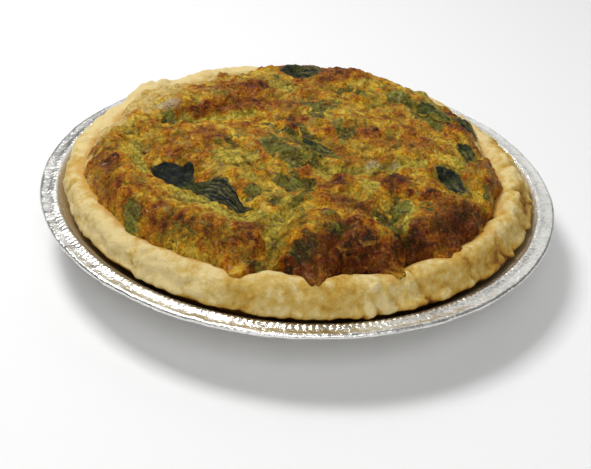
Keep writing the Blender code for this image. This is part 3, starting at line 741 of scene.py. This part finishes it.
pale_edge *= smoothstep(0.8, 5.0, pale_width)
give_values(egg_filling, "browning", browning)
give_values(egg_filling, "pale_edge", pale_edge)
give_values(egg_filling, "egg", egg)
give_values(egg_filling, "spinach", spinach)
give_values(egg_filling, "pale", patch_sum(warp_x, warp_y, PALE_FAT_AND_GLINTS, PATCH_EDGE))
# Painted shade: the colour darkens in the hollows between lumps and knobs and along the creases, where
# shade falls.
painted_crevice_shade = 0.75 * np.exp(-((lumps / 0.10) ** 2)) + 0.45 * np.exp(-((knobs / 0.12) ** 2))
painted_crevice_shade += np.clip(creases, 0, 2.5) * 0.12
painted_crevice_shade = np.clip(painted_crevice_shade, 0, 1) * (inland + 0.15) * (1 - 0.95 * pale_edge)
give_values(egg_filling, "painted_crevice_shade", painted_crevice_shade)

filling_finish, nodes, links, shader = new_material("browned_filling")
mottling = noise_texture(nodes, links, 105, 6.0, 0.62, 0.5)
blotches = noise_texture(nodes, links, 150, 4.0, 0.58, 0.7)
flecks = noise_texture(nodes, links, 185, 5.0, 0.62, 1.2)
sparks = noise_texture(nodes, links, 430, 3.0, 0.6, 0.4)
speckle = noise_texture(nodes, links, 950, 4.0, 0.7)
grit = noise_texture(nodes, links, 720, 3.0, 0.75, 0.3)
browned = broken_up(nodes, links, attribute(nodes, "browning"), mottling, -0.33, 0.32)
browned = broken_up(nodes, links, browned, speckle, -0.17, 0.17)
colour = ramp(nodes, links, browned, FILLING_SHADES)
burnt = ramp(nodes, links, blotches, BURNT_SHADES)
burnt = paint_over(nodes, links, burnt, flecks, 0.54, 0.66, 0.75, TAN_FLECKS)
colour = paint_over(nodes, links, colour, browned, 0.58, 0.86, 0.95, burnt)
unburnt = spread(nodes, links, browned, 0.72, 0.42)
for pattern, low, high, most, tint in (
        (blotches, 0.48, 0.62, 0.70, OLIVE), (sparks, 0.55, 0.66, 0.66, ORANGE)):
    tinted = combine(nodes, links, "MULTIPLY", spread(nodes, links, pattern, low, high, 0.0, most), unburnt)
    colour = blend_colours(nodes, links, tinted, colour, tint)
egg_seen = broken_up(nodes, links, attribute(nodes, "egg"), blotches, -0.40, 0.40)
egg_colour = ramp(nodes, links, sparks, EGG_SHADES)
colour = paint_over(nodes, links, colour, egg_seen, 0.28, 0.60, 0.9, egg_colour)
leaf_seen = broken_up(nodes, links, attribute(nodes, "spinach"), flecks, -0.50, 0.50)
green = ramp(nodes, links, blotches, SPINACH_SHADES)
green = paint_over(nodes, links, green, browned, 0.5, 0.8, 0.9, BURNT_SPINACH)
colour = paint_over(nodes, links, colour, leaf_seen, 0.30, 0.62, 0.95, green)
colour = paint_over(nodes, links, colour, grit, 0.45, 0.36, 0.55, DARK_GRIT)
light_grit = ramp(nodes, links, browned, LIGHT_GRIT)
colour = paint_over(nodes, links, colour, grit, 0.55, 0.66, 0.55, light_grit)
pale_seen = broken_up(nodes, links, attribute(nodes, "pale_edge"), flecks, -0.50, 0.50)
edge_colour = ramp(nodes, links, browned, EDGE_SHADES)
colour = paint_over(nodes, links, colour, pale_seen, 0.20, 0.85, 0.95, edge_colour)
# Pale cheese and fat, with painted highlights on them.
colour = paint_over(nodes, links, colour, attribute(nodes, "pale"), 0.3, 0.8, 0.5, PALE_FAT_AND_GLINT_COLOUR)
# Painted shade in the crevices, broken up by the mottling.
crevice_shade_share = combine(nodes, links, "MULTIPLY", attribute(nodes, "painted_crevice_shade"),
                      spread(nodes, links, mottling, 0.35, 0.65, 0.30, 0.90))
colour = blend_colours(nodes, links, crevice_shade_share, colour, CREVICE_SHADE_COLOUR)
# Painted shade between the crumbs: the colour darkens towards the edge of each crumb.
crumb = crumb_texture(nodes, links, 520)
colour = paint_over(nodes, links, colour, crumb, 0.30, 0.85, 0.25, SHADE_BETWEEN_CRUMBS)
links.new(colour, shader.inputs["Base Color"])
links.new(spread(nodes, links, mottling, 0.35, 0.68, 0.58, 0.30), shader.inputs["Roughness"])
shader.inputs["Specular IOR Level"].default_value = 0.11
shader.inputs["Specular Tint"].default_value = (1.0, 0.78, 0.45, 1.0)
shader.inputs["Coat Weight"].default_value = 0.08
shader.inputs["Coat Roughness"].default_value = 0.20
shader.inputs["Coat IOR"].default_value = 1.40
grain = combine(nodes, links, "ADD", speckle, spread(nodes, links, sparks, 0.3, 0.7, 0.0, 0.7))
grain = combine(nodes, links, "SUBTRACT", grain, crumb)
bump(nodes, links, shader, grain, 0.0012, 0.9)
egg_filling.data.materials.append(filling_finish)
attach(egg_filling, "root")
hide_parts("filling")


# The spinach leaves wilted and dried on top of the filling: dark blue-green to black, glossy, folded
# along their length and stuck down in the hollows. Each is a thin sheet that follows what is under it.
LEAF_THICKNESS = 0.35
LEAF_LIFT = 0.05
LEAF_CELLS = (46, 20)
RAGGED_BY = 0.24
NOTCHED_BY = 0.7
BENT_BY = 0.06
SLIPPED_BY = 0.05
STUCK_BY = 0.8
ROUND_END = (  # how far along from the middle, and how wide the leaf is there, as shares
    (-1.0, 0.25), (-0.9, 0.55), (-0.6, 0.95), (-0.2, 1.0), (0.2, 0.85), (0.6, 0.8), (0.9, 0.5),
    (1.0, 0.2))
LONG_TIP = (
    (-1.0, 0.15), (-0.8, 0.5), (-0.4, 0.9), (0.0, 1.0), (0.4, 0.75), (0.8, 0.35), (1.0, 0.05))
LARGE_FAR = (  # how far along the large leaf, and how far its far edge lies from its midline, in mm
    (-28, 3.0), (-25.5, 7.0), (-21.8, 8.8), (-18, 11.0), (-14, 12.3), (-10.8, 11.0), (-8.7, 8.0),
    (-6.5, 5.8), (-4, 6.2), (-2.0, 8.3), (0.8, 11.4), (4, 12.2), (7.5, 11.0), (12, 8.8), (16.8, 6.3),
    (23.5, 3.4), (29, 1.0))
LARGE_NEAR = (  # the same for its near edge
    (-28, 0.6), (-26.5, -2.5), (-22, -4.6), (-17.7, -5.8), (-12, -5.0), (-7, -3.4), (-4, -2.2),
    (0.8, -1.2), (12.2, -0.6), (22.7, -0.4), (29, 0.4))
DARK_LEAF = (
    (0.30, (0.003, 0.005, 0.006)), (0.52, (0.009, 0.013, 0.011)), (0.68, (0.060, 0.055, 0.022)),
    (0.86, (0.17, 0.145, 0.060)))
GREEN_LEAF = (
    (0.30, (0.010, 0.014, 0.003)), (0.50, (0.045, 0.055, 0.009)), (0.72, (0.16, 0.15, 0.022)))
EGG_FILM = ((0.38, (0.11, 0.075, 0.008)), (0.62, (0.33, 0.22, 0.020)))


def both_sides(width, outline, length):
    """The two edges of a leaf that is alike on both sides."""
    far = tuple((share * length / 2, half * width / 2) for share, half in outline)
    return far, tuple((along, -half) for along, half in far)


LEAVES = (  # node, x, y in mm, turn in degrees, length in mm, edges, pleats, height in mm, how green it
    # is, and how far egg covers its edges
    ("leaf_large", -43, -50.5, -35, 57, (LARGE_FAR, LARGE_NEAR), 8, 0.8, 0.0, 0.2),
    ("leaf_back", -3, 78.5, 6, 23, both_sides(18, ROUND_END, 23), 4, 1.2, 0.1, 0.5),
    ("leaf_right", 68.5, -31, -72, 28, both_sides(13, ROUND_END, 28), 4, 0.9, 0.05, 0.9),
    ("leaf_right_small", 78.5, 0.5, -80, 17, both_sides(9, ROUND_END, 17), 3, 0.5, 0.35, 0.8),
    ("leaf_middle", 7, -9.5, -42, 24, both_sides(11, LONG_TIP, 24), 5, 0.5, 0.45, 1.0),
    ("leaf_back_right", 65, 35, -40, 23, both_sides(12, ROUND_END, 23), 4, 0.6, 0.95, 1.0),
    ("leaf_far_right", 80.5, 29, -58, 17, both_sides(10, ROUND_END, 17), 3, 0.6, 0.1, 0.7))

leaf_finish, nodes, links, shader = new_material("wilted_spinach")
veining = noise_texture(nodes, links, 380, 5.0, 0.7)
stripes = spread(nodes, links, attribute(nodes, "stripes"), 0.25, 0.80, 0.0, 0.20)
striped = combine(nodes, links, "ADD", veining, stripes)
leaf_colour = ramp(nodes, links, striped, DARK_LEAF)
green_leaf = ramp(nodes, links, striped, GREEN_LEAF)
leaf_colour = blend_colours(nodes, links, attribute(nodes, "greenness"), leaf_colour, green_leaf)
faded = broken_up(nodes, links, attribute(nodes, "faded"), veining, -0.35, 0.35)
egg_film = ramp(nodes, links, veining, EGG_FILM)
leaf_colour = paint_over(nodes, links, leaf_colour, faded, 0.35, 0.70, 0.95, egg_film)
links.new(leaf_colour, shader.inputs["Base Color"])
links.new(spread(nodes, links, veining, 0.3, 0.7, 0.32, 0.55), shader.inputs["Roughness"])
shader.inputs["Specular IOR Level"].default_value = 0.07
bump(nodes, links, shader, noise_texture(nodes, links, 800, 4.0, 0.7), 0.0006, 0.7)

quiche_surfaces = (surface_of(egg_filling), surface_of(pastry))


def wilt(name, middle_x, middle_y, turn, length, edges, pleats, height, green, fade, cells, lift):
    """Models one wilted leaf: a sheet with uneven edges, pleated along, that lies on the filling."""
    def uneven(first, second, size, layers, shift):
        return unevenness(np.column_stack([first, second, nothing]), size, layers, shift)

    bpy.ops.object.select_all(action="DESELECT")
    bpy.ops.mesh.primitive_grid_add(x_subdivisions=cells[0], y_subdivisions=cells[1], size=2)
    leaf = bpy.context.object
    leaf.name = name
    sheet = points_of(leaf) * MM
    steps, sides = sheet[:, 0], sheet[:, 1]
    turned = math.radians(turn)
    along = steps * length / 2
    far, near = (np.interp(along, *np.array(edge).T) for edge in edges)
    seed = middle_x * 0.37 + middle_y * 0.61
    nothing = np.zeros(len(steps))
    either_edge = np.sign(sides) * 9
    ragged = uneven(along, either_edge, 3.5, 3, seed)
    bend = uneven(along, nothing, 14, 2, seed + 3) * BENT_BY * length
    notches = uneven(along, either_edge, 1.3, 2, seed + 5)
    middle, half = (far + near) / 2, (far - near) / 2
    across = middle + sides * half * (1 + RAGGED_BY * ragged) + sides**3 * notches * NOTCHED_BY
    across += bend * np.abs(steps)
    along = along + uneven(sides * 6, nothing, 3.5, 2, seed + 7) * SLIPPED_BY * length
    x = middle_x + along * math.cos(turned) - across * math.sin(turned)
    y = middle_y + along * math.sin(turned) + across * math.cos(turned)
    folds = np.sin(sides * pleats * 1.6 + 2.5 * ragged + seed) * height * 0.5
    crinkle = uneven(x, y, 2.6, 3, 21.0) * height * 0.5
    down = np.array([drop_on(quiche_surfaces, a, b) for a, b in zip(x, y)])
    stuck = 1 - STUCK_BY * smoothstep(0.6, 1.0, np.maximum(np.abs(sides), np.abs(steps)))
    move_points(leaf, np.column_stack([x, y, down + lift + (folds + crinkle + height * 0.5) * stuck]))
    stripes = 0.5 + 0.5 * np.sin(sides * pleats * 2.3 + 2.0 * ragged + seed)
    give_values(leaf, "stripes", stripes * smoothstep(-0.25, 0.1, steps))
    give_values(leaf, "greenness", green + 0.6 * np.exp(-(((steps + 0.15) / 0.18) ** 2)))
    rim = np.maximum(np.abs(sides) + 0.25 * ragged, np.abs(steps))
    give_values(leaf, "faded", fade * smoothstep(0.55, 1.05, rim))
    select_only(leaf)
    body = leaf.modifiers.new("body", "SOLIDIFY")
    body.thickness = LEAF_THICKNESS * MM
    body.offset = 0.0
    bpy.ops.object.modifier_apply(modifier="body")
    refine(leaf, 1)
    return leaf


for node, middle_x, middle_y, turn, length, edges, pleats, height, green, fade in LEAVES:
    wilted = wilt(node.replace("leaf", "wilted_leaf"), middle_x, middle_y, turn, length, edges, pleats,
                  height, green, fade, LEAF_CELLS, LEAF_LIFT)
    wilted.data.materials.append(leaf_finish)
    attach(wilted, "root")
    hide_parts(node)


# Shreds of spinach show all over the filling, half sunk in the egg: the same leaf, torn small. One lies
# in each green patch but those near the edge, and all of them are joined to one piece.
SHRED_SEED = 11
SHREDS_WITHIN = 82.0
SHRED_OFF_CENTRE = 0.7
SHRED_LENGTHS = (3.5, 7.0)
SHRED_WIDTHS = (0.22, 0.45)  # as shares of the length
SHRED_TURNS = (-50, 50)
SHRED_CELLS = (12, 7)
SHRED_LIFT = -0.45

chance = np.random.default_rng(SHRED_SEED)
shreds = []
for patch_x, patch_y, half_length, half_width, turn, _ in SPINACH:
    if math.hypot(patch_x, patch_y) > SHREDS_WITHIN:
        continue
    off = chance.uniform(-SHRED_OFF_CENTRE, SHRED_OFF_CENTRE, 2) * (half_length, half_width)
    length = chance.uniform(*SHRED_LENGTHS)
    width = length * chance.uniform(*SHRED_WIDTHS)
    angle = turn + chance.uniform(*SHRED_TURNS)
    shreds.append(wilt("shred", patch_x + off[0], patch_y + off[1], angle, length,
                       both_sides(width, ROUND_END, length), 3, 0.4, 0.6, 0.9, SHRED_CELLS, SHRED_LIFT))
bpy.ops.object.select_all(action="DESELECT")
for shred in shreds:
    shred.select_set(True)
bpy.context.view_layer.objects.active = shreds[0]
bpy.ops.object.join()
spinach_shreds = bpy.context.object
spinach_shreds.name = "spinach_shreds"
spinach_shreds.data.materials.append(leaf_finish)
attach(spinach_shreds, "root")


# The table is a plain pale top. A soft lamp stands high behind the left shoulder of the quiche, a wide
# one far behind it, whose light the foil and the fat throw back, and another wide
# one in front fills the shadows.
TABLE_WIDTH = 3.0
LAMPS = (  # name, place, size in metres, power in watts
    ("key", (-0.40, 0.25, 0.95), 0.35, 7.5), ("back", (0.20, 1.10, 0.80), 1.3, 3.7),
    ("front", (0.12, -0.95, 0.85), 0.9, 6.1))
LAMPS_AIM = Vector((0, 0, 0.03))
ROOM_LIGHT = 0.20

bpy.ops.object.select_all(action="DESELECT")
bpy.ops.mesh.primitive_plane_add(size=TABLE_WIDTH)
table = bpy.context.object
table.name = "table"
table_finish, nodes, links, shader = new_material("pale_table")
shader.inputs["Base Color"].default_value = (0.90, 0.90, 0.90, 1.0)
shader.inputs["Roughness"].default_value = 0.7
table.data.materials.append(table_finish)
for name, spot, size, power in LAMPS:
    bpy.ops.object.light_add(type="AREA", location=spot)
    lamp = bpy.context.object
    lamp.name = name
    lamp.data.size = size
    lamp.data.energy = power
    lamp.rotation_euler = (LAMPS_AIM - Vector(spot)).to_track_quat("-Z", "Y").to_euler()
room = bpy.data.worlds.new("room")
room.use_nodes = True
room.node_tree.nodes["Background"].inputs["Color"].default_value = (1.0, 1.0, 1.0, 1.0)
room.node_tree.nodes["Background"].inputs["Strength"].default_value = ROOM_LIGHT
bpy.context.scene.world = room
bpy.context.scene.view_settings.view_transform = "Standard"
